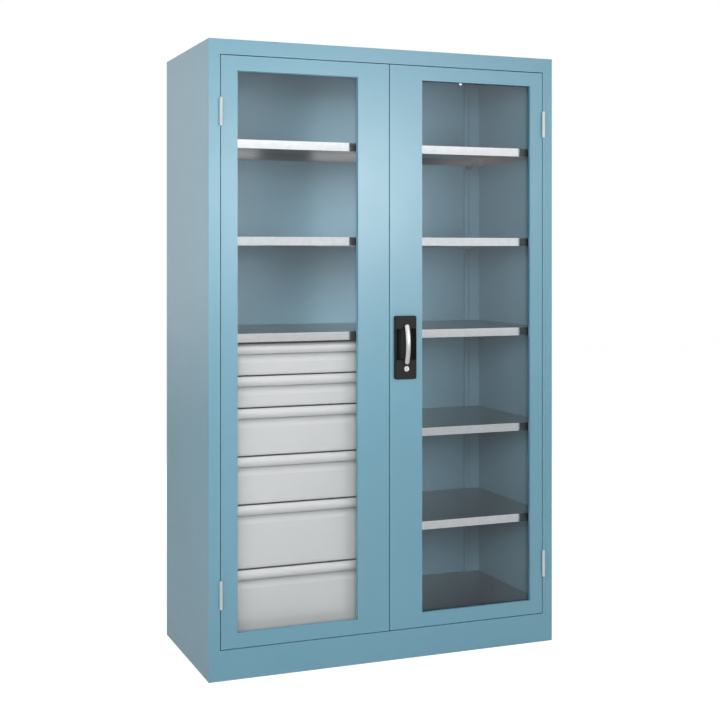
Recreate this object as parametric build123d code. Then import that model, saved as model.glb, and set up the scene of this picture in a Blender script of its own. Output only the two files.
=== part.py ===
from build123d import *
import math
import os

# Heavy-duty storage cabinet: a steel carcass with two glazed hinged doors, full-width
# shelves above, six drawers in a block at the lower left and half-width shelves at the
# lower right. Millimetres. It is drawn from the front left bottom corner of the steel
# body (x to the right, y to the back, z up) and moved to its own frame at the end.

# Carcass
width = 1200.0
depth = 500.0
height = 1950.0
sheet = 1.2
stile_width = 35.5
stile_depth = 26.0
header_height = 46.5
header_return = 40.0
plinth_height = 93.0
plinth_return = 60.0
flange_width = 25.0
roof_flange = 15.0
foot_flange = 34.0

# Glides under the corners
glide_radius = 15.0
glide_stand = 2.0
glide_inset = 20.0
glide_stud_radius = 4.0
glide_stud_length = 10.0

# Wall fixing holes in the back panel
wall_hole_radius = 6.5
wall_hole_inset = 75.0
wall_hole_drop = 20.0

# Slotted posts in the four corners
post_width = 33.0
post_side_gap = 28.0
post_depth = 8.0
post_step = 2.0
post_top_gap = 20.0
slot_pitch = 25.0
slot_height = 15.0
slot_width = 5.0
front_post_gap = 8.0

# Shelves
shelf_door_gap = 2.5
shelf_lip = 26.5
shelf_return = 15.0
shelf_side_gap = 0.6
shelf_back_gap = 0.5
shelf_post_gap = 0.5
shelf_over_drawers = 3.5
right_shelf_drops = {"upper": 320.0, "lower": 625.0}
floor_rise = 23.0

# Shelf clips
clip_width = 22.0
clip_length = 22.0
clip_sheet = 2.0
clip_leg = 14.0
clip_nose_width = 4.4
clip_nose_length = 5.0

# Partition and drawer block
partition_flange = 18.0
partition_setback = 9.0
cap_gap = 2.0
cheek_x = 40.0
cheek_setback = 24.0
cheek_back_gap = 20.0

# Drawers, from the top one down
drawer_heights = [100.0, 100.0, 150.0, 150.0, 200.0, 200.0]
drawer_gap = 4.0
drawer_setback = 21.0
drawer_front_left = 46.0
drawer_front_right_gap = 4.0
drawer_sheet = 1.0
drawer_hem = 12.0
drawer_back_gap = 38.0
drawer_wall_drop = 22.0
drawer_floor_lift = 8.0
facet_height = 29.0
facet_depth = 3.5
grip_height = 30.0
grip_reach = 13.5
grip_wall = 2.4
grip_crest = 9.4
grip_belly = 13.9
grip_curl = 12.2
grip_back = 19.8

# Drawer runners
runner_width = 12.7
runner_height = 36.0
runner_wall = 1.5
runner_clearance = 0.3
runner_lift = 14.0
runner_setback = 2.0
runner_back_gap = 30.0
slide_groove = 16.0

# Doors
door_gap = 2.6
middle_gap = 3.0
door_depth = 22.0
door_sheet = 1.2
door_lip = 12.0
lock_stile_back = 84.0
door_bottom_gap = 2.5
window_bottom_margin = 46.0
window_top_margin = 45.2
left_hinge_margin = 53.1
left_lock_margin = 107.3
right_hinge_margin = 45.9
right_lock_margin = 114.5
window_return = 10.5
pane_flange = 22.0
seal_width = 12.0
seal_thickness = 1.5
seal_lip = 1.2
pane_overlap = 12.0
pane_thickness = 4.0
retainer_overlap = 10.0

# Hinges
hinge_radius = 5.5
hinge_pin_radius = 3.0
hinge_running_gap = 0.05
hinge_stand_off = 5.8
hinge_length = 86.0
hinge_low_inset = 167.0
hinge_high_inset = 172.4
hinge_seam = 0.6
hinge_leaf = 1.6
hinge_leaf_depth = 18.0
pin_head = 1.0

# Door lock and lever
escutcheon_edge_gap = 14.5
escutcheon_width = 74.0
escutcheon_bottom = 896.5
escutcheon_height = 202.5
escutcheon_thickness = 13.0
escutcheon_corner = 6.0
escutcheon_edge = 2.0
tray_inset = 4.0
tray_gap = 0.3
recess_rise = 61.1
recess_height = 100.0
recess_half_width = 34.4
recess_depth = 31.0
lever_rise = 166.0
lever_chord = 108.5
lever_bow = 28.0
lever_section = (8.4, 6.0)
lever_boss_radius = 9.0
lever_land_gap = 0.4
spindle_radius = 5.0
spindle_sink = 2.0
running_gap = 0.05
hub_radius = 12.4
hub_thickness = 7.0
cylinder_rise = 33.7
cylinder_radius = 8.5
cylinder_face = 17.5
cylinder_body_radius = 7.4
keyway_width = 2.6
keyway_height = 8.6
cam_reach = 9.0
cam_gap = 1.3
cam_half_width = 4.0
cam_thickness = 3.0
case_half_width = 23.0
case_low_inset = 11.5
case_high_inset = 13.0
case_depth = 12.5
rod_radius = 4.0
rod_gap = 0.3
rod_end_gap = 2.5
rod_overlap = 10.0
rod_travel = 19.7
guide_half_width = 9.0
guide_height = 16.0
guide_depth = 13.0
guide_case_gap = 120.0
guide_end_gap = 196.0
keeper_size = (36.0, 22.0, 2.0)
keeper_hole_radius = 5.0
screw_radius = 3.2
screw_head = 1.6
screw_inset = 9.0

# Door buffers
buffer_size = (20.0, 8.0, 16.0)
buffer_gap = 0.3
buffer_inset = 300.0

# How far a cutter runs past the face it opens
overshoot = 1.0

# Derived places
back_face = depth - sheet
door_left_edge = stile_width + door_gap
door_right_edge = width - door_left_edge
left_door_end = width / 2 - middle_gap / 2
right_door_start = width / 2 + middle_gap / 2
header_bottom = height - header_height
door_bottom = plinth_height + door_bottom_gap
door_top = header_bottom - door_gap
floor_top = plinth_height + floor_rise
wall_hole_height = height - wall_hole_drop
hinge_x = stile_width + door_gap / 2
post_face = back_face - post_depth
shelf_back = post_face - shelf_back_gap
shelf_front = door_depth + case_depth + shelf_door_gap
front_post_start = shelf_front + front_post_gap
partition_x = width / 2
partition_front = shelf_front + partition_setback
drawer_front_y = shelf_front + drawer_setback
drawer_back_y = depth - drawer_back_gap
cheek_front = drawer_front_y + cheek_setback
cheek_back = depth - cheek_back_gap
runner_right = partition_x
runner_front = cheek_front + runner_setback
runner_back = depth - runner_back_gap
drawer_top = floor_top + drawer_gap + sum(drawer_heights)
middle_shelf_top = drawer_top + shelf_over_drawers + shelf_lip
shelf_pitch = (height - middle_shelf_top) / 3
shelf_tops = {"top": middle_shelf_top + 2 * shelf_pitch,
              "upper": middle_shelf_top + shelf_pitch,
              "middle": middle_shelf_top}
right_shelf_tops = {name: middle_shelf_top - drop for name, drop in right_shelf_drops.items()}
window_bottom = door_bottom + window_bottom_margin
window_top = door_top - window_top_margin
left_window = (door_left_edge + left_hinge_margin, left_door_end - left_lock_margin)
right_window = (right_door_start + right_lock_margin, door_right_edge - right_hinge_margin)
hinge_centres = [door_bottom + hinge_low_inset, door_top - hinge_high_inset]
escutcheon_left = right_door_start + escutcheon_edge_gap
lever_x = escutcheon_left + escutcheon_width / 2
lever_z = escutcheon_bottom + lever_rise
lever_tip_z = lever_z - lever_chord
recess_bottom = escutcheon_bottom + recess_rise
recess_top = recess_bottom + recess_height
recess_radius = (recess_half_width ** 2 + recess_depth ** 2) / (2 * recess_depth)
recess_axis_y = recess_depth - escutcheon_thickness - recess_radius
cylinder_z = escutcheon_bottom + cylinder_rise
case_bottom = escutcheon_bottom + case_low_inset
case_top = escutcheon_bottom + escutcheon_height - case_high_inset
rod_centre_y = door_depth + case_depth / 2
rod_offset = hub_radius + rod_gap + rod_radius
handle_reach = lever_bow + lever_section[1]
frame_shift = (-width / 2, -(depth - handle_reach) / 2, glide_stand)


def slab(x0, x1, y0, y1, z0, z1):
    """A plate between two corners."""
    size = (abs(x1 - x0), abs(y1 - y0), abs(z1 - z0))
    return Pos((x0 + x1) / 2, (y0 + y1) / 2, (z0 + z1) / 2) * Box(*size)


def mirrored(shape):
    """The same piece on the other side of the cabinet."""
    return shape.mirror(Plane.YZ.offset(width / 2))


def rod_z(x, y, z0, z1, radius):
    """A round bar standing along z."""
    return Pos(x, y, (z0 + z1) / 2) * Cylinder(radius, z1 - z0)


def rod_y(x, z, y0, y1, radius):
    """A round bar lying along y."""
    return Pos(x, (y0 + y1) / 2, z) * Rot(90, 0, 0) * Cylinder(radius, y1 - y0)


def joined(shapes):
    """One solid out of plates that meet."""
    result = shapes[0]
    for shape in shapes[1:]:
        result = result + shape
    return result


def side_panel():
    """Left outer sheet, behind the front stile."""
    return slab(0, sheet, sheet, depth, 0, height)


def front_stile():
    """Left front stile, folded back into the stop that the hinges are welded to."""
    face = slab(0, stile_width, 0, sheet, 0, height)
    stop = slab(stile_width - sheet, stile_width, 0, stile_depth, 0, height - sheet)
    return face + stop


def roof_panel():
    """Top sheet with folded edges along both sides."""
    top = slab(sheet, width - sheet, sheet, back_face, height - sheet, height)
    left = slab(sheet, 2 * sheet, stile_depth + sheet, back_face - sheet - flange_width,
                height - roof_flange, height)
    return joined([top, left, mirrored(left)])


def header_rail():
    """Rail over the doors, butted between the stiles."""
    left = stile_width
    right = width - stile_width
    front = slab(left, right, 0, sheet, header_bottom, height)
    under = slab(left, right, 0, header_return, header_bottom, header_bottom + sheet)
    behind = slab(left, right, header_return - sheet, header_return, header_bottom,
                  header_bottom + roof_flange)
    hole = rod_z(lever_x - rod_offset, rod_centre_y, header_bottom - sheet,
                 header_bottom + 2 * sheet, keeper_hole_radius)
    return joined([front, under, behind]) - hole


def back_panel():
    """Back sheet with doubled side edges and two holes for fixing the cabinet to a wall."""
    panel = slab(sheet, width - sheet, back_face, depth, 0, height)
    edge = slab(sheet, flange_width, back_face - sheet, back_face, 0, height - sheet)
    panel = joined([panel, edge, mirrored(edge)])
    for x in (wall_hole_inset, width - wall_hole_inset):
        panel = panel - rod_y(x, wall_hole_height, back_face - sheet, depth + sheet,
                              wall_hole_radius)
    return panel


def floor_shelf():
    """Bottom shelf: a pan that rests on the two plinth rails."""
    left = sheet + shelf_side_gap
    right = width - left
    back = back_face - sheet - shelf_back_gap
    top = slab(left, right, shelf_front, back, floor_top - sheet, floor_top)
    front = slab(left, right, shelf_front, shelf_front + sheet, plinth_height, floor_top)
    rear = slab(left, right, back - sheet, back, plinth_height, floor_top)
    end = slab(left, left + sheet, shelf_front, back, plinth_height, floor_top)
    return joined([top, front, rear, end, mirrored(end)])


def plinth_front():
    """Plinth rail under the doors, with the return that carries the floor shelf."""
    left = stile_width
    right = width - stile_width
    front = slab(left, right, 0, sheet, 0, plinth_height)
    top = slab(left, right, 0, plinth_return, plinth_height - sheet, plinth_height)
    hem = slab(left, right, 0, shelf_return, 0, sheet)
    hole = rod_z(lever_x + rod_offset, rod_centre_y, plinth_height - 2 * sheet,
                 plinth_height + sheet, keeper_hole_radius)
    return joined([front, top, hem]) - hole


def plinth_rear():
    """Rear plinth rail against the back panel."""
    left = flange_width
    right = width - flange_width
    web = slab(left, right, back_face - sheet, back_face, sheet, plinth_height)
    top = slab(left, right, back_face - plinth_return, back_face, plinth_height - sheet,
               plinth_height)
    return web + top


def foot_plate():
    """Plate along the bottom of the left side, with a hole for each glide's stud."""
    plate = slab(sheet, foot_flange, sheet, back_face - sheet, 0, sheet)
    for y in (glide_inset, depth - glide_inset):
        plate = plate - rod_z(glide_inset, y, -sheet, 2 * sheet, glide_stud_radius)
    return plate


def base_rails():
    """Rear plinth rail and the foot plates of both sides."""
    plate = foot_plate()
    return [plinth_rear(), plate, mirrored(plate)]


def slot_row(x0, x1, y0, y1, z0, z1):
    """The punched slots of a post, between two heights."""
    first = math.ceil((z0 + slot_pitch) / slot_pitch)
    last = math.floor((z1 - slot_pitch) / slot_pitch)
    return [slab(x0, x1, y0, y1, n * slot_pitch - slot_height / 2,
                 n * slot_pitch + slot_height / 2) for n in range(first, last + 1)]


def rear_post():
    """Slotted post in the rear left corner, standing on the floor shelf."""
    z0 = floor_top
    z1 = height - sheet - post_top_gap
    inner = sheet + post_side_gap
    outer = inner + post_width
    face = slab(inner, outer, post_face, post_face + sheet, z0, z1)
    web = slab(outer - sheet, outer, post_face, back_face, z0, z1)
    step = slab(inner, inner + sheet, post_face, post_face + post_step + sheet, z0, z1)
    wing = slab(sheet, inner + sheet, post_face + post_step, post_face + post_step + sheet,
                z0, z1)
    middle = (inner + outer) / 2
    slots = slot_row(middle - slot_width / 2, middle + slot_width / 2, post_face - sheet,
                     post_face + 2 * sheet, z0, z1)
    return joined([face, web, step, wing]) - slots


def front_post():
    """Slotted post on the left side sheet, behind the front stile."""
    z0 = floor_top
    z1 = header_bottom
    y0 = front_post_start
    y1 = y0 + post_width
    x1 = sheet + post_depth
    face = slab(x1 - sheet, x1, y0, y1, z0, z1)
    near = slab(sheet, x1, y0, y0 + sheet, z0, z1)
    far = slab(sheet, x1, y1 - sheet, y1, z0, z1)
    middle = (y0 + y1) / 2
    slots = slot_row(x1 - 2 * sheet, x1 + sheet, middle - slot_width / 2,
                     middle + slot_width / 2, z0, z1)
    return joined([face, near, far]) - slots


def slotted_posts():
    """Four corner posts."""
    left = [rear_post(), front_post()]
    return left + [mirrored(post) for post in left]


def shelf_pan(x0, x1, top, notches):
    """A shelf: flat top, folded lips all round and returned edges in front and behind."""
    low = top - shelf_lip
    plates = [
        slab(x0, x1, shelf_front, shelf_back, top - sheet, top),
        slab(x0, x1, shelf_front, shelf_front + sheet, low, top),
        slab(x0, x1, shelf_back - sheet, shelf_back, low, top),
        slab(x0, x1, shelf_front, shelf_front + shelf_return, low, low + sheet),
        slab(x0, x1, shelf_back - shelf_return, shelf_back, low, low + sheet),
    ]
    shelf = joined(plates)
    for edge, side in notches:
        reach = sheet + post_depth + shelf_post_gap
        x = reach if side > 0 else width - reach
        y0 = front_post_start - shelf_post_gap
        y1 = front_post_start + post_width + shelf_post_gap
        shelf = shelf - slab(edge, x, y0, y1, low - sheet, top + sheet)
        wall = slab(x, x + side * sheet, y0 - sheet, y1 + sheet, low, top)
        shelf = shelf + wall + slab(edge, edge + side * sheet, y1, shelf_back, low, top)
    return shelf


def full_shelf(top):
    """A shelf over the whole width of the cabinet."""
    left = sheet + shelf_side_gap
    return shelf_pan(left, width - left, top, [(left, 1), (width - left, -1)])


def right_shelf(top):
    """A half-width shelf between the partition and the right side."""
    left = partition_x + sheet + shelf_side_gap
    right = width - sheet - shelf_side_gap
    shelf = shelf_pan(left, right, top, [(right, -1)])
    return shelf + slab(left, left + sheet, shelf_front, shelf_back, top - shelf_lip, top)


def rear_clip(low):
    """Clip under a shelf's rear left corner, hooked into the post."""
    x = sheet + post_side_gap + post_width / 2
    half = clip_width / 2
    tab = slab(x - half, x + half, post_face - clip_length, post_face, low - clip_sheet, low)
    leg = slab(x - half, x + half, post_face - clip_sheet, post_face, low - clip_leg, low)
    nose = slab(x - clip_nose_width / 2, x + clip_nose_width / 2, post_face,
                post_face + clip_nose_length, low - clip_sheet, low)
    return joined([tab, leg, nose])


def front_clip(low):
    """Clip under a shelf's front left corner, hooked into the side post."""
    y = front_post_start + post_width / 2
    half = clip_width / 2
    x = sheet + post_depth
    tab = slab(x, x + clip_length, y - half, y + half, low - clip_sheet, low)
    leg = slab(x, x + clip_sheet, y - half, y + half, low - clip_leg, low)
    nose = slab(x - clip_nose_length, x, y - clip_nose_width / 2, y + clip_nose_width / 2,
                low - clip_sheet, low)
    return joined([tab, leg, nose])


def partition_clips(low):
    """Two clips on the partition, under a right shelf's left edge."""
    x = partition_x + sheet
    clips = []
    for y in (front_post_start + post_width / 2, shelf_back - post_width):
        half = clip_width / 2
        tab = slab(x, x + clip_length, y - half, y + half, low - clip_sheet, low)
        leg = slab(x, x + clip_sheet, y - half, y + half, low - clip_leg, low)
        clips.append(joined([tab, leg]))
    return clips


def shelf_clips():
    """Every clip of every hung shelf."""
    clips = []
    for top in shelf_tops.values():
        low = top - shelf_lip
        left = [rear_clip(low), front_clip(low)]
        clips += left + [mirrored(clip) for clip in left]
    for top in right_shelf_tops.values():
        low = top - shelf_lip
        clips += [mirrored(rear_clip(low)), mirrored(front_clip(low))]
        clips += partition_clips(low)
    return clips


def partition():
    """Upright between the drawers and the right shelves."""
    z1 = shelf_tops["middle"] - shelf_lip
    back = shelf_back
    web = slab(partition_x, partition_x + sheet, partition_front, back, floor_top, z1)
    left = partition_x + sheet - partition_flange
    cap = slab(left + drawer_front_right_gap + cap_gap, partition_x + sheet, cheek_front,
               back, z1 - sheet, z1)
    rear = slab(left, partition_x + sheet, back - sheet, back, floor_top, z1)
    return joined([web, cap, rear])


def drawer_cheek():
    """Spaced sheet on the left side wall that carries the left runners."""
    z0 = floor_top
    z1 = shelf_tops["middle"] - shelf_lip - clip_leg - clip_sheet
    web = slab(cheek_x - sheet, cheek_x, cheek_front, cheek_back, z0, z1)
    near = slab(sheet, cheek_x, cheek_front, cheek_front + sheet, z0, z1)
    far = slab(sheet, cheek_x, cheek_back - sheet, cheek_back, z0, z1)
    return joined([web, near, far])


def drawer_spans():
    """Bottom and top of each drawer front, from the top one down."""
    spans = []
    top = drawer_top
    for tall in drawer_heights:
        spans.append((top - tall, top - drawer_gap))
        top = top - tall
    return spans


def runner_fixed(x_wall, side, z0):
    """C-shaped runner member; side is +1 where it opens to the right."""
    x_open = x_wall + side * (runner_width - runner_clearance)
    x_web = x_wall + side * runner_wall
    z1 = z0 + runner_height
    web = slab(x_wall, x_web, runner_front, runner_back, z0, z1)
    floor = slab(x_wall, x_open, runner_front, runner_back, z0, z0 + runner_wall)
    roof = slab(x_wall, x_open, runner_front, runner_back, z1 - runner_wall, z1)
    return joined([web, floor, roof])


def runner_sliding(x_wall, side, z0):
    """Sliding bar on the drawer's side, inside the C."""
    x0 = x_wall + side * (runner_wall + runner_clearance)
    x1 = x_wall + side * runner_width
    low = z0 + runner_wall + runner_clearance
    high = z0 + runner_height - runner_wall - runner_clearance
    bar = slab(x0, x1, runner_front, drawer_back_y, low, high)
    groove = x1 - side * runner_wall
    middle = (low + high) / 2
    return bar - slab(x0, groove, runner_front, drawer_back_y, middle - slide_groove / 2,
                      middle + slide_groove / 2)


def drawer_body(z0, z1):
    """Welded drawer: tray and front panel with the leaned band under the grip."""
    left = cheek_x + runner_width
    right = runner_right - runner_width
    tray_top = z1 - grip_height - drawer_wall_drop / 2
    tray_low = z0 + drawer_floor_lift
    y0 = drawer_front_y + drawer_sheet
    t = drawer_sheet
    front_left = drawer_front_left
    front_right = runner_right - drawer_front_right_gap
    band_top = z1 - grip_height
    band_low = band_top - facet_height
    lean = facet_depth
    profile = Polyline(
        (drawer_front_y, z0),
        (drawer_front_y, band_low),
        (drawer_front_y + lean, band_top),
        (drawer_front_y + lean, z1),
        (drawer_front_y + lean + t, z1),
        (drawer_front_y + lean + t, band_top),
        (drawer_front_y + t, band_low),
        (drawer_front_y + t, z0),
        close=True,
    )
    section = make_face(Plane.YZ.offset(front_left) * profile)
    front = extrude(section, front_right - front_left, dir=(1, 0, 0))
    hem_left = slab(front_left, front_left + t, y0, y0 + drawer_hem, z0, band_low)
    hem_right = slab(front_right - t, front_right, y0, y0 + drawer_hem, z0, band_low)
    floor = slab(left, right, drawer_front_y, drawer_back_y, tray_low, tray_low + t)
    wall_left = slab(left, left + t, drawer_front_y + t, drawer_back_y, tray_low, tray_top)
    wall_right = slab(right - t, right, drawer_front_y + t, drawer_back_y, tray_low, tray_top)
    back = slab(left, right, drawer_back_y - t, drawer_back_y, tray_low, tray_top)
    return joined([front, hem_left, hem_right, floor, wall_left, wall_right, back])


def drawer_grip(z1):
    """Full-width grip strip: a bowed front that curls under at its lower edge."""
    x0 = drawer_front_left
    x1 = runner_right - drawer_front_right_gap
    y = drawer_front_y + facet_depth
    low = z1 - grip_height
    front = y - grip_reach - facet_depth
    crest = y - grip_crest
    curl = y - grip_curl
    belly_z = z1 - grip_belly
    inner = y - grip_wall
    inner_top = z1 - grip_wall
    back_low = z1 - grip_back
    outline = [
        Line((y, z1), (crest, z1)),
        ThreePointArc((crest, z1), (front, belly_z), (curl, low)),
        Line((curl, low), (curl + grip_wall, low)),
        ThreePointArc((curl + grip_wall, low), (front + grip_wall, belly_z),
                      (crest + grip_wall, inner_top)),
        Line((crest + grip_wall, inner_top), (inner, inner_top)),
        Line((inner, inner_top), (inner, back_low)),
        Line((inner, back_low), (y, back_low)),
        Line((y, back_low), (y, z1)),
    ]
    section = make_face(Plane.YZ.offset(x0) * Curve(outline))
    return extrude(section, x1 - x0, dir=(1, 0, 0))


def frame_ring(x0, x1, z0, z1, border, y0, y1, inset=0.0):
    """A rectangular ring round a window, border wide, its hole grown by inset."""
    outer = slab(x0 - border, x1 + border, y0, y1, z0 - border, z1 + border)
    hole = slab(x0 - inset, x1 + inset, y0 - overshoot, y1 + overshoot, z0 - inset,
                z1 + inset)
    return outer - hole


def door_panel(x0, x1, window, lock_side):
    """Door pan with its window cut-out; lock_side is +1 where the lock edge is right."""
    t = door_sheet
    win0, win1 = window
    z0, z1 = door_bottom, door_top
    w0, w1 = window_bottom, window_top
    plates = [
        slab(x0, x1, 0, t, z0, z1),
        slab(x0, x0 + t, 0, door_depth, z0, z1),
        slab(x1 - t, x1, 0, door_depth, z0, z1),
        slab(x0, x1, 0, door_depth, z0, z0 + t),
        slab(x0, x1, 0, door_depth, z1 - t, z1),
        slab(x0, x1, door_depth - t, door_depth, z0, z0 + door_lip),
        slab(x0, x1, door_depth - t, door_depth, z1 - door_lip, z1),
    ]
    left_lip = door_lip if lock_side > 0 else lock_stile_back
    right_lip = lock_stile_back if lock_side > 0 else door_lip
    plates.append(slab(x0, x0 + left_lip, door_depth - t, door_depth, z0, z1))
    plates.append(slab(x1 - right_lip, x1, door_depth - t, door_depth, z0, z1))
    pan = joined(plates)
    pan = pan + frame_ring(win0, win1, w0, w1, t, 0, window_return)
    pan = pan + frame_ring(win0, win1, w0, w1, pane_flange, window_return - t, window_return)
    return pan - slab(win0, win1, -t, window_return + t, w0, w1)


def pane_seal(window):
    """Soft strip between the window edge and the pane."""
    return frame_ring(*window, window_bottom, window_top, seal_width, window_return,
                      window_return + seal_thickness, -seal_lip)


def window_pane(window):
    """Clear pane."""
    y0 = window_return + seal_thickness
    return slab(window[0] - pane_overlap, window[1] + pane_overlap, y0, y0 + pane_thickness,
                window_bottom - pane_overlap, window_top + pane_overlap)


def pane_retainer(window):
    """Folded frame behind the pane, screwed to the window flange."""
    t = door_sheet
    y0 = window_return + seal_thickness + pane_thickness
    face = frame_ring(*window, window_bottom, window_top, pane_flange, y0, y0 + t,
                      pane_overlap - retainer_overlap)
    wall = frame_ring(*window, window_bottom, window_top, pane_flange, window_return, y0 + t,
                      pane_flange - t)
    return face + wall


def hinge_half(z0, z1, reach_x, bore):
    """One knuckle with its leaf; the leaf lies against the edge at reach_x."""
    y = -hinge_stand_off
    barrel = rod_z(hinge_x, y, z0, z1, hinge_radius)
    leaf_x = reach_x + math.copysign(hinge_leaf, hinge_x - reach_x)
    leaf = slab(reach_x, leaf_x, y, hinge_leaf_depth, z0, z1)
    return barrel + leaf - rod_z(hinge_x, y, z0 - overshoot, z1 + overshoot, bore)


def hinge_halves(lower):
    """The frame's or the door's halves of the left hinges."""
    halves = []
    for centre in hinge_centres:
        if lower:
            halves.append(hinge_half(centre - hinge_length / 2, centre - hinge_seam / 2,
                                     stile_width, hinge_pin_radius))
        else:
            halves.append(hinge_half(centre + hinge_seam / 2, centre + hinge_length / 2,
                                     door_left_edge, hinge_pin_radius + hinge_running_gap))
    return halves


def hinge_pins_left():
    """Pins of the left hinges, fast in the lower knuckles."""
    pins = []
    for centre in hinge_centres:
        pins.append(rod_z(hinge_x, -hinge_stand_off, centre - hinge_length / 2,
                          centre + hinge_length / 2 + pin_head, hinge_pin_radius))
    return pins


def escutcheon():
    """Black handle plate with its finger recess and the tray behind it."""
    x0 = escutcheon_left
    x1 = x0 + escutcheon_width
    z0 = escutcheon_bottom
    z1 = z0 + escutcheon_height
    plate = slab(x0, x1, -escutcheon_thickness, 0, z0, z1)
    plate = fillet(plate.edges().filter_by(Axis.Y), escutcheon_corner)
    plate = fillet(plate.faces().sort_by(Axis.Y)[0].edges(), escutcheon_edge)
    tray = slab(x0 + tray_inset, x1 - tray_inset, 0, door_depth, z0 + tray_inset,
                z1 - tray_inset)
    scoop = rod_z(lever_x, recess_axis_y, recess_bottom, recess_top, recess_radius)
    body = plate + tray - scoop
    front = -escutcheon_thickness - overshoot
    back = door_depth + overshoot
    body = body - rod_y(lever_x, lever_z, front, back, spindle_radius + running_gap)
    return body - rod_y(lever_x, cylinder_z, front, back, cylinder_body_radius + running_gap)


def door_right_panel():
    """Right door pan with the cut-out for the handle tray."""
    panel = door_panel(right_door_start, door_right_edge, right_window, -1)
    x0 = escutcheon_left + tray_inset - tray_gap
    x1 = escutcheon_left + escutcheon_width - tray_inset + tray_gap
    z0 = escutcheon_bottom + tray_inset - tray_gap
    z1 = escutcheon_bottom + escutcheon_height - tray_inset + tray_gap
    return panel - slab(x0, x1, -overshoot, door_depth + overshoot, z0, z1)


def lock_case():
    """Case behind the door in which the lever hub drives the two rods."""
    y0 = door_depth
    y1 = door_depth + case_depth
    case = slab(lever_x - case_half_width, lever_x + case_half_width, y0, y1, case_bottom,
                case_top)
    front = y0 - overshoot
    half = hub_thickness / 2 + rod_gap
    hub_front = rod_centre_y - half
    hub_back = rod_centre_y + half
    case = case - rod_y(lever_x, lever_z, front, y1 + overshoot,
                        spindle_radius + running_gap)
    case = case - rod_y(lever_x, lever_z, hub_front, hub_back, hub_radius + rod_gap)
    case = case - rod_y(lever_x, cylinder_z, front, hub_back,
                        cylinder_body_radius + running_gap)
    case = case - rod_y(lever_x, cylinder_z, hub_front, hub_back, cam_reach + cam_gap)
    bore = rod_radius + running_gap
    low = lever_z - rod_overlap - rod_travel - rod_gap
    high = case_top + overshoot
    case = case - rod_z(lever_x - rod_offset, rod_centre_y, low, high, bore)
    return case - rod_z(lever_x + rod_offset, rod_centre_y, case_bottom - overshoot, high,
                        bore)


def lever_handle():
    """Bow lever with its spindle and hub."""
    x = lever_x
    land = -escutcheon_thickness - lever_land_gap
    middle = (lever_z + lever_tip_z) / 2
    rise = lever_bow + land - lever_section[1]
    radius = (lever_chord * lever_chord / 4 + rise * rise) / (2 * rise)
    reach = lever_chord / 2 + 2 * lever_boss_radius
    end_y = radius - math.sqrt(radius * radius - reach * reach) - lever_bow
    bow = ThreePointArc((x, end_y, middle + reach), (x, -lever_bow, middle),
                        (x, end_y, middle - reach))
    section = Plane(origin=bow @ 0, x_dir=(1, 0, 0), z_dir=bow % 0)
    bar = sweep(section * Ellipse(lever_section[0], lever_section[1]), path=bow)
    face = Plane.XZ.offset(-land) * Pos(x, middle) * Rot(0, 0, 90)
    outline = extrude(face * SlotCenterToCenter(lever_chord, 2 * lever_boss_radius),
                      handle_reach)
    spindle = rod_y(x, lever_z, land - spindle_sink, door_depth + case_depth, spindle_radius)
    hub = rod_y(x, lever_z, rod_centre_y - hub_thickness / 2,
                rod_centre_y + hub_thickness / 2, hub_radius)
    return (bar & outline) + spindle + hub


def lock_cylinder():
    """Key cylinder with its face, keyway and the cam inside the case."""
    x = lever_x
    land = -escutcheon_thickness - running_gap
    face = rod_y(x, cylinder_z, -cylinder_face, land, cylinder_radius)
    body = rod_y(x, cylinder_z, land - overshoot, rod_centre_y, cylinder_body_radius)
    key = slab(x - keyway_width / 2, x + keyway_width / 2, -cylinder_face - overshoot, 0,
               cylinder_z - keyway_height / 2, cylinder_z + keyway_height / 2)
    y0 = rod_centre_y - cam_thickness / 2
    cam = slab(x - cam_half_width, x + cam_half_width, y0, y0 + cam_thickness,
               cylinder_z - cam_reach, cylinder_z)
    return face + body + cam - key


def lock_rod(side):
    """Lock rod: side -1 is the upper one, left of the hub, and +1 the lower one."""
    x = lever_x + side * rod_offset
    if side < 0:
        return rod_z(x, rod_centre_y, lever_z - rod_overlap, header_bottom - rod_end_gap,
                     rod_radius)
    return rod_z(x, rod_centre_y, plinth_height + rod_end_gap, lever_z + rod_overlap,
                 rod_radius)


def rod_guides():
    """Plastic guides that hold the rods against the door."""
    guides = []
    runs = ((-1, (case_top + guide_case_gap, header_bottom - guide_end_gap)),
            (1, (case_bottom - guide_case_gap, plinth_height + guide_end_gap)))
    for side, heights in runs:
        x = lever_x + side * rod_offset
        for z in heights:
            block = slab(x - guide_half_width, x + guide_half_width, door_depth,
                         door_depth + guide_depth, z - guide_height / 2,
                         z + guide_height / 2)
            guides.append(block - rod_z(x, rod_centre_y, z - guide_height, z + guide_height,
                                        rod_radius + running_gap))
    return guides


def lock_keepers():
    """Keeper plates over the rod holes in the header and under those in the plinth."""
    half_x = keeper_size[0] / 2
    half_y = keeper_size[1] / 2
    upper_z = header_bottom + sheet
    lower_z = plinth_height - sheet - keeper_size[2]
    keepers = []
    for side, z in ((-1, upper_z), (1, lower_z)):
        x = lever_x + side * rod_offset
        y = min(rod_centre_y, header_return - sheet - half_y)
        plate = slab(x - half_x, x + half_x, y - half_y, y + half_y, z, z + keeper_size[2])
        keepers.append(plate - rod_z(x, rod_centre_y, z - overshoot,
                                     z + keeper_size[2] + overshoot, keeper_hole_radius))
    return keepers


def case_screws():
    """Four screws that hold the lock case to the door."""
    screws = []
    for x in (lever_x - case_half_width + screw_inset, lever_x + case_half_width - screw_inset):
        for z in (case_bottom + screw_inset, case_top - screw_inset):
            screws.append(rod_y(x, z, door_depth + case_depth,
                                door_depth + case_depth + screw_head, screw_radius))
    return screws


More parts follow.
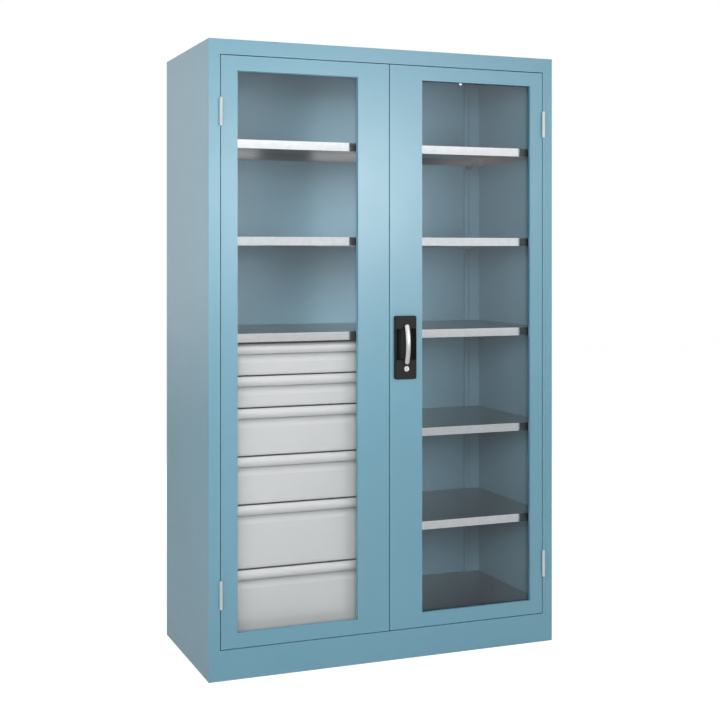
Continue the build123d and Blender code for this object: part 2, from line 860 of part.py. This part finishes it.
def door_buffers():
    """Rubber blocks that the doors close against, at the header and the plinth."""
    length, thick, tall = buffer_size
    y0 = door_depth + buffer_gap
    buffers = []
    for x in (buffer_inset, width - buffer_inset):
        buffers.append(slab(x - length / 2, x + length / 2, y0, y0 + thick,
                            header_bottom - tall, header_bottom))
        buffers.append(slab(x - length / 2, x + length / 2, y0, y0 + thick,
                            plinth_height, plinth_height + tall))
    return buffers


def glides():
    """Four round glides with studs in the side panels' foot flanges."""
    pads = []
    for x in (glide_inset, width - glide_inset):
        for y in (glide_inset, depth - glide_inset):
            pad = rod_z(x, y, -glide_stand, 0, glide_radius)
            pads.append(pad + rod_z(x, y, 0, glide_stud_length, glide_stud_radius))
    return pads


def drawer_nodes():
    """The six drawers: body, grip strip and the two sliding runner bars of each."""
    nodes = {}
    for number, (z0, z1) in enumerate(drawer_spans(), start=1):
        runner_z = z0 + runner_lift
        nodes["drawer_body_%d" % number] = drawer_body(z0, z1)
        nodes["drawer_grip_%d" % number] = drawer_grip(z1)
        nodes["drawer_slides_%d" % number] = [
            runner_sliding(cheek_x, 1, runner_z),
            runner_sliding(runner_right, -1, runner_z),
        ]
    return nodes


def fixed_runners():
    """The fixed runner members on the cheek and the partition."""
    runners = []
    for z0, _ in drawer_spans():
        runners.append(runner_fixed(cheek_x, 1, z0 + runner_lift))
        runners.append(runner_fixed(runner_right, -1, z0 + runner_lift))
    return runners


def all_nodes():
    """Every named piece of the cabinet."""
    left_side = side_panel()
    left_stile = front_stile()
    lower = hinge_halves(True)
    upper = hinge_halves(False)
    pins = hinge_pins_left()
    nodes = {
        "side_panel_left": left_side,
        "side_panel_right": mirrored(left_side),
        "front_stiles": [left_stile, mirrored(left_stile)],
        "roof_panel": roof_panel(),
        "header_rail": header_rail(),
        "back_panel": back_panel(),
        "floor_shelf": floor_shelf(),
        "plinth_front": plinth_front(),
        "base_rails": base_rails(),
        "slotted_posts": slotted_posts(),
        "partition": partition(),
        "drawer_cheek": drawer_cheek(),
        "drawer_runners": fixed_runners(),
        "shelf_clips": shelf_clips(),
        "glides": glides(),
        "hinge_frame_halves": lower + [mirrored(half) for half in lower],
        "hinge_pins": pins + [mirrored(pin) for pin in pins],
        "lock_keepers": lock_keepers(),
        "door_buffers": door_buffers(),
        "door_left_panel": door_panel(door_left_edge, left_door_end, left_window, 1),
        "door_left_seal": pane_seal(left_window),
        "door_left_pane": window_pane(left_window),
        "door_left_retainer": pane_retainer(left_window),
        "door_left_hinge_halves": upper,
        "door_right_panel": door_right_panel(),
        "door_right_seal": pane_seal(right_window),
        "door_right_pane": window_pane(right_window),
        "door_right_retainer": pane_retainer(right_window),
        "door_right_hinge_halves": [mirrored(half) for half in upper],
        "handle_escutcheon": escutcheon(),
        "lock_case": lock_case(),
        "rod_guides": rod_guides(),
        "case_screws": case_screws(),
        "lever_handle": lever_handle(),
        "lock_cylinder": lock_cylinder(),
        "rod_upper": lock_rod(-1),
        "rod_lower": lock_rod(1),
    }
    for name, top in shelf_tops.items():
        nodes["shelf_" + name] = full_shelf(top)
    for name, top in right_shelf_tops.items():
        nodes["shelf_right_" + name] = right_shelf(top)
    nodes.update(drawer_nodes())
    return nodes


os.makedirs("parts", exist_ok=True)
place = Pos(*frame_shift)
for name, piece in all_nodes().items():
    solids = piece if isinstance(piece, list) else [piece]
    bodies = [body for item in solids for body in item.solids()]
    export_step(Compound(children=[place * body for body in bodies]), "parts/" + name + ".step")
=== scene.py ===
import math

import bpy
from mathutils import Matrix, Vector


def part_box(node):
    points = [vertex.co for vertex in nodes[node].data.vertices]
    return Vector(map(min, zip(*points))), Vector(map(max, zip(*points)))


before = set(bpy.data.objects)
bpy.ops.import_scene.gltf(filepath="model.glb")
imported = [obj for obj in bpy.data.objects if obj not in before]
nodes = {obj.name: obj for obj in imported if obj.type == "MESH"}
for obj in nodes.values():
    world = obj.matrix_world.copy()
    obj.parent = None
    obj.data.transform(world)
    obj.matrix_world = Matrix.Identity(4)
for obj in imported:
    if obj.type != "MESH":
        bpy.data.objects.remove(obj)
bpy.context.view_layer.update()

# Camera left of the front, level, turned 20 degrees, its lens shifted down and to the right
CAMERA_PLACE = (-1.6566, -3.7697, 1.2998)
CAMERA_TURN = 20.0
CAMERA_LENS = 60.98
CAMERA_SENSOR = 36.0
CAMERA_SHIFT = (0.1103, -0.1478)

# Colours, linear
BLUE = (0.119, 0.284, 0.370)
# The inner faces' lighter blue is painted light, standing in for more light inside the cabinet
BLUE_INSIDE_PAINTED_LIGHT = (0.190, 0.338, 0.425)
GREY = (0.560, 0.570, 0.575)
# The grips' lighter grey is painted light, standing in for the highlight on their rounded tops
GRIP_GREY_PAINTED_LIGHT = (0.605, 0.613, 0.617)
STEEL = (0.580, 0.590, 0.600)
BRIGHT = (0.700, 0.720, 0.740)
# The shelves' flat decks take this darker colour as painted shade
DECK_PAINTED_SHADE = (0.450, 0.415, 0.395)
ZINC = (0.770, 0.780, 0.785)
SILVER = (0.720, 0.720, 0.710)
BLACK = (0.009, 0.009, 0.0095)
RUBBER = (0.020, 0.021, 0.022)
WHITE = (1, 1, 1)
PANE_TINT = (0.994, 0.996, 0.996)
FLOOR_GREY = (0.80, 0.80, 0.80)

# The carcass's sheet thickness, in metres
SHEET = 0.0012

# Small rounded edges, in metres
SHARP = 0.0
FOLD_EDGE = 0.0008
DRAWER_EDGE = 0.0006
HINGE_EDGE = 0.0005
MOULDED_EDGE = 0.0004
BUFFER_EDGE = 0.001
EDGE_SEGMENTS = 2
EDGE_ANGLE = 40

# How far below and above a colour its mottling goes
PAINT_RANGE = (0.975, 1.02)
SHEET_RANGE = (0.97, 1.03)
PLASTIC_RANGE = (0.7, 1.5)

# How far roughness wanders: by so much in paint, between two factors in sheet steel
PAINT_WEAR = 0.03
SHEET_WEAR = (0.8, 1.25)

# Stretch of the grain along the axes
EVEN_GRAIN = (1, 1, 1)
ROLLED_GRAIN = (1, 8, 8)
UPRIGHT_GRAIN = (4, 4, 1)

# Painted shade in the drawer paint's creases: how near the other face is, and how dark it gets
CREASE_REACH = 0.024
CREASE_DARKEST = 0.25
CREASE_START = 0.45
CREASE_END = 0.92
CREASE_SAMPLES = 12

# A face looks to the front or the back when its normal's Y is farther than this from 0
UPRIGHT_LIMIT = 0.6

# The pane's reflection from straight on to grazing: position, share of gloss
PANE_GLOSS = ((0.0, 0.028), (0.5, 0.05), (0.8, 0.22), (1.0, 0.9))

# Sockets of the colour mix node
MIX_FACTOR = 0
MIX_FIRST = 6
MIX_SECOND = 7
MIX_RESULT = 2

# Studio: the world's strength as a light, and the floor's size in metres
AMBIENT = 0.05
FLOOR_SIZE = 30.0

# The floor's own glow and the grey that takes the shadow, seen directly and in gloss
FLOOR_SEEN = (0.985, 0.2)
FLOOR_MIRRORED = (0.60, 0.1)

# Depth of the upright axis that the lamps stand round, at the doors
LAMP_CENTRE_Y = -0.23

# Points that several lamps aim at
DOORS_MIDDLE = (0, -0.2, 1.2)
CABINET_MIDDLE = (0, 0, 1.2)

# Places shared by two lamps: degrees round from the front, metres away, metres across
FRONT_STAND = {"azimuth": 14, "distance": 2.8, "size": (1.9, 0.8)}
RIGHT_STAND = {"azimuth": 38, "distance": 3.0, "size": (2.0, 1.2)}
CENTRE_STAND = {"azimuth": -22, "distance": 3.4, "size": (1.2, 1.0)}


def link(tree, a, a_socket, b, b_socket):
    tree.links.new(a.outputs[a_socket], b.inputs[b_socket])


def new_material(name):
    """A material with its node tree and principled shader."""
    material = bpy.data.materials.new(name)
    material.use_nodes = True
    tree = material.node_tree
    return material, tree, tree.nodes["Principled BSDF"]


def coordinates(tree):
    return tree.nodes.new("ShaderNodeTexCoord")


def noise(tree, place, scale, detail, stretch=EVEN_GRAIN):
    """Object-space noise, optionally stretched along an axis."""
    mapping = tree.nodes.new("ShaderNodeMapping")
    mapping.inputs["Scale"].default_value = stretch
    texture = tree.nodes.new("ShaderNodeTexNoise")
    texture.inputs["Scale"].default_value = scale
    texture.inputs["Detail"].default_value = detail
    link(tree, place, "Object", mapping, "Vector")
    link(tree, mapping, "Vector", texture, "Vector")
    return texture


def ramp(tree, source, output, low, high, start, end):
    """Colour ramp from a low colour to a high one, between two positions."""
    node = tree.nodes.new("ShaderNodeValToRGB")
    first, last = node.color_ramp.elements
    first.position = start
    first.color = (*low, 1)
    last.position = end
    last.color = (*high, 1)
    link(tree, source, output, node, "Fac")
    return node


def shade(colour, factor):
    return tuple(channel * factor for channel in colour)


def mottled(tree, source, colour, spread):
    """A colour that wanders a little below and above itself over the middle of a noise."""
    low, high = spread
    return ramp(tree, source, "Fac", shade(colour, low), shade(colour, high), start=0.35, end=0.65)


def bump(tree, shader, source, strength, distance):
    node = tree.nodes.new("ShaderNodeBump")
    node.inputs["Strength"].default_value = strength
    node.inputs["Distance"].default_value = distance
    link(tree, source, "Fac", node, "Height")
    link(tree, node, "Normal", shader, "Normal")


def set_roughness(tree, shader, source, low, high):
    """Roughness between two values, by a noise or a mask."""
    node = tree.nodes.new("ShaderNodeMapRange")
    node.inputs["To Min"].default_value = low
    node.inputs["To Max"].default_value = high
    tree.links.new(source, node.inputs["Value"])
    link(tree, node, "Result", shader, "Roughness")


def mix_colours(tree, shader, first, second, mask=None):
    """Base colour from two: the mask chooses, and without one they are multiplied."""
    mix = tree.nodes.new("ShaderNodeMix")
    mix.data_type = "RGBA"
    if mask is None:
        mix.blend_type = "MULTIPLY"
        mix.inputs[MIX_FACTOR].default_value = 1.0
    else:
        tree.links.new(mask, mix.inputs[MIX_FACTOR])
    link(tree, first, "Color", mix, MIX_FIRST)
    link(tree, second, "Color", mix, MIX_SECOND)
    link(tree, mix, MIX_RESULT, shader, "Base Color")


def mix_shaders(tree, factor, first, second):
    """The second shader where the factor is 1, the first where it is 0."""
    mix = tree.nodes.new("ShaderNodeMixShader")
    tree.links.new(factor, mix.inputs[0])
    tree.links.new(first, mix.inputs[1])
    tree.links.new(second, mix.inputs[2])
    return mix.outputs[0]


def combine(tree, sockets, operation):
    """One value out of several, by a math node between each two."""
    total = sockets[0]
    for socket in sockets[1:]:
        node = tree.nodes.new("ShaderNodeMath")
        node.operation = operation
        tree.links.new(total, node.inputs[0])
        tree.links.new(socket, node.inputs[1])
        total = node.outputs[0]
    return total


def carcass_reach():
    """Each axis with a middle and a reach that ends half a sheet inside the outer faces.

    On Y it is the back that counts, because the front is open.
    """
    lowest, (right, back, top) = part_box("side_panel_right")
    middle = (lowest.z + top) / 2
    half_sheet = SHEET / 2
    return (("X", 0.0, right - half_sheet),
            ("Y", 0.0, back - half_sheet),
            ("Z", middle, top - middle - half_sheet))


def inside_light_mask(tree, place):
    """Where painted light lightens the blue: 1 on the carcass's inner faces, 0 on its outer ones,
    half a sheet further out.
    """
    split = tree.nodes.new("ShaderNodeSeparateXYZ")
    link(tree, place, "Object", split, "Vector")
    tests = []
    for axis, centre, reach in carcass_reach():
        test = tree.nodes.new("ShaderNodeMath")
        test.operation = "COMPARE"
        test.inputs[1].default_value = centre
        test.inputs[2].default_value = reach
        link(tree, split, axis, test, 0)
        tests.append(test.outputs[0])
    return combine(tree, tests, "MULTIPLY")


def front_mask(tree, place):
    """1 on the faces that look to the cabinet's front or back, 0 on the flat ones."""
    split = tree.nodes.new("ShaderNodeSeparateXYZ")
    link(tree, place, "Normal", split, "Vector")
    size = tree.nodes.new("ShaderNodeMath")
    size.operation = "ABSOLUTE"
    link(tree, split, "Y", size, 0)
    test = tree.nodes.new("ShaderNodeMath")
    test.operation = "GREATER_THAN"
    test.inputs[1].default_value = UPRIGHT_LIMIT
    link(tree, size, 0, test, 0)
    return test.outputs[0]


def crease_shade(tree):
    """Painted shade: grey that falls from white towards the bottom of tight creases."""
    near = tree.nodes.new("ShaderNodeAmbientOcclusion")
    near.samples = CREASE_SAMPLES
    near.inputs["Distance"].default_value = CREASE_REACH
    return ramp(tree, near, "AO", shade(WHITE, CREASE_DARKEST), WHITE, CREASE_START, CREASE_END)


def powder_coat(name, colour, specular, rough, inside=None, flake=0.0, painted_crease_shade=False):
    """Powder coat: fine orange peel and slight cloudiness.

    The carcass's inner faces can take a lighter blue as painted light, or creases can take painted
    shade.
    """
    material, tree, shader = new_material(name)
    place = coordinates(tree)
    clouds = noise(tree, place, scale=2.2, detail=3)
    tint = mottled(tree, clouds, colour, PAINT_RANGE)
    # The inner faces take the lighter blue as painted light
    if inside:
        inner = mottled(tree, clouds, inside, PAINT_RANGE)
        mix_colours(tree, shader, tint, inner, inside_light_mask(tree, place))
    # Painted shade darkens the drawer paint in its creases
    elif painted_crease_shade:
        mix_colours(tree, shader, tint, crease_shade(tree))
    else:
        link(tree, tint, "Color", shader, "Base Color")
    peel = noise(tree, place, scale=900, detail=2)
    wear = noise(tree, place, scale=14, detail=4)
    set_roughness(tree, shader, wear.outputs["Fac"], rough - PAINT_WEAR, rough + PAINT_WEAR)
    bump(tree, shader, peel, strength=0.05, distance=0.0006)
    shader.inputs["Specular IOR Level"].default_value = specular
    shader.inputs["Metallic"].default_value = flake
    return material


def sheet_steel(name, colour, rough, stretch, deck=None, deck_rough=0.0):
    """Galvanised or plated metal with a faint grain and, if asked, a duller deck in a darker colour
    that is painted shade.
    """
    material, tree, shader = new_material(name)
    place = coordinates(tree)
    spangle = noise(tree, place, scale=60, detail=2)
    tint = mottled(tree, spangle, colour, SHEET_RANGE)
    grain = noise(tree, place, scale=400, detail=2, stretch=stretch)
    if deck:
        # Faces to the front or back keep the sheet's colour; the flat decks take the darker painted
        # shade
        face = front_mask(tree, place)
        mix_colours(tree, shader, mottled(tree, spangle, deck, SHEET_RANGE), tint, face)
        set_roughness(tree, shader, face, deck_rough, rough)
    else:
        link(tree, tint, "Color", shader, "Base Color")
        low, high = SHEET_WEAR
        set_roughness(tree, shader, grain.outputs["Fac"], rough * low, rough * high)
    bump(tree, shader, grain, strength=0.02, distance=0.0002)
    shader.inputs["Metallic"].default_value = 1.0
    return material


def grained_plastic(name, colour, rough):
    """Moulded plastic with a spark-eroded grain."""
    material, tree, shader = new_material(name)
    grain = noise(tree, coordinates(tree), scale=750, detail=3)
    tint = mottled(tree, grain, colour, PLASTIC_RANGE)
    link(tree, tint, "Color", shader, "Base Color")
    bump(tree, shader, grain, strength=0.55, distance=0.0007)
    shader.inputs["Roughness"].default_value = rough
    shader.inputs["Specular IOR Level"].default_value = 0.22
    return material


def clear_pane():
    """Clear pane: see-through, with a soft surface gloss that grows towards grazing."""
    material, tree, shader = new_material("clear_pane")
    shader.inputs["Base Color"].default_value = (*WHITE, 1)
    shader.inputs["Metallic"].default_value = 1.0
    shader.inputs["Roughness"].default_value = 0.22
    see_through = tree.nodes.new("ShaderNodeBsdfTransparent")
    see_through.inputs["Color"].default_value = (*PANE_TINT, 1)
    weight = tree.nodes.new("ShaderNodeLayerWeight")
    gloss = tree.nodes.new("ShaderNodeValToRGB")
    levels = gloss.color_ramp.elements
    while len(levels) < len(PANE_GLOSS):
        levels.new(position=0.5)
    for level, (position, share) in zip(levels, PANE_GLOSS):
        level.position = position
        level.color = (share, share, share, 1)
    link(tree, weight, "Facing", gloss, "Fac")
    surface = mix_shaders(tree, gloss.outputs["Color"], see_through.outputs[0], shader.outputs[0])
    tree.links.new(surface, tree.nodes["Material Output"].inputs["Surface"])
    return material


blue = powder_coat("blue_powder_coat", BLUE, specular=0.9, rough=0.32)
# The carcass and the inner parts are a lighter blue inside, as painted light
carcass_blue = powder_coat("blue_powder_coat_carcass", BLUE, specular=0.9, rough=0.32,
                           inside=BLUE_INSIDE_PAINTED_LIGHT)
inner_blue = powder_coat("blue_powder_coat_inner", BLUE, specular=0.4, rough=0.45,
                         inside=BLUE_INSIDE_PAINTED_LIGHT)
# The drawers' bodies and grips take painted shade in their creases
grey = powder_coat("grey_powder_coat", GREY, specular=0.6, rough=0.30, flake=0.14, painted_crease_shade=True)
# The grips take the lighter grey as painted light
grip_grey_painted_light = powder_coat("grip_grey_painted_light_coat", GRIP_GREY_PAINTED_LIGHT, specular=0.6, rough=0.30, flake=0.30,
                        painted_crease_shade=True)
galvanised = sheet_steel("galvanised_sheet", STEEL, rough=0.22, stretch=ROLLED_GRAIN)
# The shelves' flat decks are darkened with painted shade
bright_sheet = sheet_steel("bright_galvanised_sheet", BRIGHT, rough=0.10, stretch=ROLLED_GRAIN,
                           deck=DECK_PAINTED_SHADE, deck_rough=0.28)
zinc = sheet_steel("zinc_plate", ZINC, rough=0.35, stretch=EVEN_GRAIN)
silver = sheet_steel("satin_silver", SILVER, rough=0.28, stretch=UPRIGHT_GRAIN)
plastic = grained_plastic("black_grained_plastic", BLACK, rough=0.42)
rubber = grained_plastic("black_rubber", RUBBER, rough=0.7)
pane = clear_pane()

# Material and edge rounding by the start of a node's name
LOOKS = {
    "side_panel": (carcass_blue, SHARP),
    "back_panel": (inner_blue, SHARP),
    "roof_panel": (carcass_blue, SHARP),
    "slotted_posts": (inner_blue, SHARP),
    "partition": (inner_blue, SHARP),
    "shelf_": (bright_sheet, FOLD_EDGE),
    "floor_shelf": (bright_sheet, FOLD_EDGE),
    "shelf_clips": (galvanised, SHARP),
    "drawer_cheek": (galvanised, SHARP),
    "drawer_runners": (galvanised, SHARP),
    "drawer_slides": (galvanised, SHARP),
    "drawer_body": (grey, DRAWER_EDGE),
    "drawer_grip": (grip_grey_painted_light, DRAWER_EDGE),
    "hinge_": (zinc, HINGE_EDGE),
    "door_left_hinge": (zinc, HINGE_EDGE),
    "door_right_hinge": (zinc, HINGE_EDGE),
    "lock_keepers": (zinc, SHARP),
    "lock_case": (zinc, SHARP),
    "case_screws": (zinc, SHARP),
    "rod_upper": (zinc, SHARP),
    "rod_lower": (zinc, SHARP),
    "rod_guides": (plastic, SHARP),
    "glides": (plastic, MOULDED_EDGE),
    "door_buffers": (rubber, BUFFER_EDGE),
    "door_left_retainer": (galvanised, SHARP),
    "door_right_retainer": (galvanised, SHARP),
    # Both doors have the same seal; the right seal's black is painted shade for the dark reveal at
    # the right window's edge, while the left seal takes the doors' blue
    "door_left_seal": (blue, SHARP),
    "door_right_seal": (rubber, SHARP),
    "door_left_panel": (blue, FOLD_EDGE),
    "door_right_panel": (blue, FOLD_EDGE),
    "door_left_pane": (pane, SHARP),
    "door_right_pane": (pane, SHARP),
    "handle_escutcheon": (plastic, MOULDED_EDGE),
    "lever_handle": (silver, SHARP),
    "lock_cylinder": (silver, MOULDED_EDGE),
}
PLAIN_LOOK = (blue, FOLD_EDGE)


def look_of(name):
    """The look of the longest start that fits the name, or else plain blue sheet."""
    starts = [start for start in LOOKS if name.startswith(start)]
    return LOOKS[max(starts, key=len)] if starts else PLAIN_LOOK


def paint_node(name):
    """Gives a node its material and, where its edges show, a small rounded edge."""
    material, bevel = look_of(name)
    obj = nodes[name]
    obj.data.materials.clear()
    obj.data.materials.append(material)
    if bevel > SHARP:
        edge = obj.modifiers.new("edge", "BEVEL")
        edge.width = bevel
        edge.segments = EDGE_SEGMENTS
        edge.limit_method = "ANGLE"
        edge.angle_limit = math.radians(EDGE_ANGLE)
        edge.harden_normals = False


def add_camera():
    """Level camera at the photograph's place and angle."""
    data = bpy.data.cameras.new("camera")
    data.lens = CAMERA_LENS
    data.sensor_width = CAMERA_SENSOR
    data.shift_x, data.shift_y = CAMERA_SHIFT
    camera = bpy.data.objects.new("camera", data)
    camera.location = CAMERA_PLACE
    camera.rotation_euler = (math.radians(90), 0, -math.radians(CAMERA_TURN))
    bpy.context.scene.collection.objects.link(camera)
    bpy.context.scene.camera = camera


def background(tree, strength):
    """White background of the given strength."""
    node = tree.nodes.new("ShaderNodeBackground")
    node.inputs["Color"].default_value = (*WHITE, 1)
    node.inputs["Strength"].default_value = strength
    return node.outputs[0]


def add_world():
    """White to the eye and in reflections; a softer grey level as a light."""
    world = bpy.data.worlds.new("studio")
    world.use_nodes = True
    bpy.context.scene.world = world
    tree = world.node_tree
    tree.nodes.clear()
    out = tree.nodes.new("ShaderNodeOutputWorld")
    path = tree.nodes.new("ShaderNodeLightPath")
    rays = [path.outputs[name] for name in ("Is Camera Ray", "Is Glossy Ray", "Is Transmission Ray")]
    seen = combine(tree, rays, "MAXIMUM")
    surface = mix_shaders(tree, seen, background(tree, AMBIENT), background(tree, 1.0))
    tree.links.new(surface, out.inputs["Surface"])


def floor_material():
    """Pale grey to the light that bounces off it; nearly white to the eye, with a faint shadow."""
    material, tree, shader = new_material("pale_floor")
    shader.inputs["Base Color"].default_value = (*FLOOR_GREY, 1)
    shader.inputs["Roughness"].default_value = 0.9
    shader.inputs["Specular IOR Level"].default_value = 0.1
    path = tree.nodes.new("ShaderNodeLightPath")
    surface = shader.outputs[0]
    for rays, (glow, albedo) in (("Is Transmission Ray", FLOOR_SEEN),
                                 ("Is Glossy Ray", FLOOR_MIRRORED),
                                 ("Is Camera Ray", FLOOR_SEEN)):
        white = tree.nodes.new("ShaderNodeEmission")
        white.inputs["Strength"].default_value = glow
        shadow = tree.nodes.new("ShaderNodeBsdfDiffuse")
        shadow.inputs["Color"].default_value = (albedo, albedo, albedo, 1)
        shown = tree.nodes.new("ShaderNodeAddShader")
        link(tree, white, 0, shown, 0)
        link(tree, shadow, 0, shown, 1)
        surface = mix_shaders(tree, path.outputs[rays], surface, shown.outputs[0])
    tree.links.new(surface, tree.nodes["Material Output"].inputs["Surface"])
    return material


def add_floor():
    """Plain pale floor that keeps the cabinet's soft shadow."""
    half = FLOOR_SIZE / 2
    data = bpy.data.meshes.new("floor")
    data.from_pydata([(-half, -half, 0), (half, -half, 0), (half, half, 0), (-half, half, 0)],
                     [], [(0, 1, 2, 3)])
    data.materials.append(floor_material())
    floor = bpy.data.objects.new("floor", data)
    bpy.context.scene.collection.objects.link(floor)


def add_panel(name, azimuth, height, distance, aim, size, watts):
    """A rectangular lamp, turned round from the cabinet's front, to the right if positive."""
    data = bpy.data.lights.new(name, "AREA")
    data.shape = "RECTANGLE"
    data.size, data.size_y = size
    data.energy = watts
    turn = math.radians(azimuth)
    place = Vector((math.sin(turn) * distance, LAMP_CENTRE_Y - math.cos(turn) * distance, height))
    lamp = bpy.data.objects.new(name, data)
    lamp.location = place
    lamp.rotation_euler = (Vector(aim) - place).to_track_quat("-Z", "Y").to_euler()
    lamp.visible_camera = False
    bpy.context.scene.collection.objects.link(lamp)
    return lamp


def link_lamp(lamp, only, skip):
    """Lights only, or skips, the nodes that have one of the words in their names."""
    words = only or skip
    if not words:
        return
    linked = bpy.data.collections.new(lamp.name + "_nodes")
    for name in nodes:
        if any(word in name.split("_") for word in words):
            linked.objects.link(nodes[name])
    lamp.light_linking.receiver_collection = linked
    for entry in linked.collection_objects:
        entry.light_linking.link_state = "INCLUDE" if only else "EXCLUDE"


def soft_lamp(name, only=(), skip=(), **stand):
    """A lamp that lights the surfaces, unseen in their gloss."""
    lamp = add_panel(name, **stand)
    lamp.visible_glossy = False
    link_lamp(lamp, only, skip)
    return lamp


def gloss_lamp(name, only=(), skip=(), **stand):
    """A lamp that is seen in the gloss of surfaces alone."""
    lamp = add_panel(name, **stand)
    lamp.visible_diffuse = False
    link_lamp(lamp, only, skip)


def pass_by(lamp, name):
    """Keeps one node from shading what the lamp lights."""
    passed = bpy.data.collections.new(lamp.name + "_passed")
    passed.objects.link(nodes[name])
    lamp.light_linking.blocker_collection = passed
    for entry in passed.collection_objects:
        entry.light_linking.link_state = "EXCLUDE"


def add_body_lamps():
    """Lamps in front and at the left, for the outside and the shelves."""
    soft_lamp("front_panel", skip=["drawer"], height=1.75, aim=DOORS_MIDDLE, watts=20, **FRONT_STAND)
    soft_lamp("right_panel", skip=["drawer"], height=2.3, aim=DOORS_MIDDLE, watts=13, **RIGHT_STAND)
    soft_lamp("centre_panel", skip=["back"], height=1.7, aim=DOORS_MIDDLE, watts=53, **CENTRE_STAND)
    soft_lamp("left_panel", azimuth=-42, height=1.8, distance=3.6, aim=CABINET_MIDDLE,
              size=(2.4, 1.6), watts=44)
    soft_lamp("end_panel", skip=["drawer"], azimuth=-75, height=1.8, distance=3.6,
              aim=(0, 0, 1.0), size=(2.0, 2.0), watts=30)


def add_drawer_lamps():
    """High lamps for the drawers; the shelf above the drawers casts no shadow from them."""
    for name, azimuth, watts in (("high_panel", 4, 155), ("high_left_panel", -30, 179)):
        lamp = soft_lamp(name, only=["drawer"], azimuth=azimuth, height=6.7, distance=4.5,
                         aim=(-0.3, -0.2, 0.5), size=(2.4, 1.7), watts=watts)
        pass_by(lamp, "shelf_middle")


def add_back_wall_lamps():
    """Lamps that light the back panel alone, through the panes."""
    only = ["back"]
    soft_lamp("back_front_panel", only, height=1.25, aim=(0, -0.2, 1.1), watts=31, **FRONT_STAND)
    soft_lamp("back_right_panel", only, height=2.3, aim=DOORS_MIDDLE, watts=104, **RIGHT_STAND)
    soft_lamp("back_centre_panel", only, height=1.5, aim=DOORS_MIDDLE, watts=24, **CENTRE_STAND)


def add_outer_lamps():
    """A lamp above the roof, and two that light the back and the right side."""
    soft_lamp("above_panel", only=["roof"], azimuth=14, height=5.0, distance=1.5,
              aim=(0, 0, 1.95), size=(1.6, 1.2), watts=92)
    soft_lamp("rear_panel", azimuth=166, height=1.8, distance=3.6, aim=(0, 0.3, 1.1),
              size=(1.8, 1.8), watts=58)
    soft_lamp("right_end_panel", azimuth=112, height=1.8, distance=3.6, aim=(0.5, 0, 1.1),
              size=(2.0, 2.0), watts=42)


def add_gloss_lamps():
    """The sheen on the doors, on the left side and on the shelves."""
    gloss_lamp("gloss_panel", skip=["pane", "shelf", "drawer", "hinge"], azimuth=19.5,
               height=1.75, distance=5.0, aim=(0, -0.2, 1.3), size=(1.4, 0.55), watts=43)
    gloss_lamp("sheen_panel", azimuth=-150, height=1.5, distance=5.0, aim=(-0.6, 0, 1.2),
               size=(2.0, 2.4), watts=4.4)
    gloss_lamp("shelf_gloss_panel", only=["shelf"], azimuth=22, height=2.5, distance=5.0,
               aim=(0, -0.2, 1.4), size=(3.0, 0.8), watts=6)


for node_name in nodes:
    paint_node(node_name)
add_camera()
add_world()
add_floor()
add_body_lamps()
add_drawer_lamps()
add_back_wall_lamps()
add_outer_lamps()
add_gloss_lamps()

bpy.context.scene.view_settings.view_transform = "Standard"
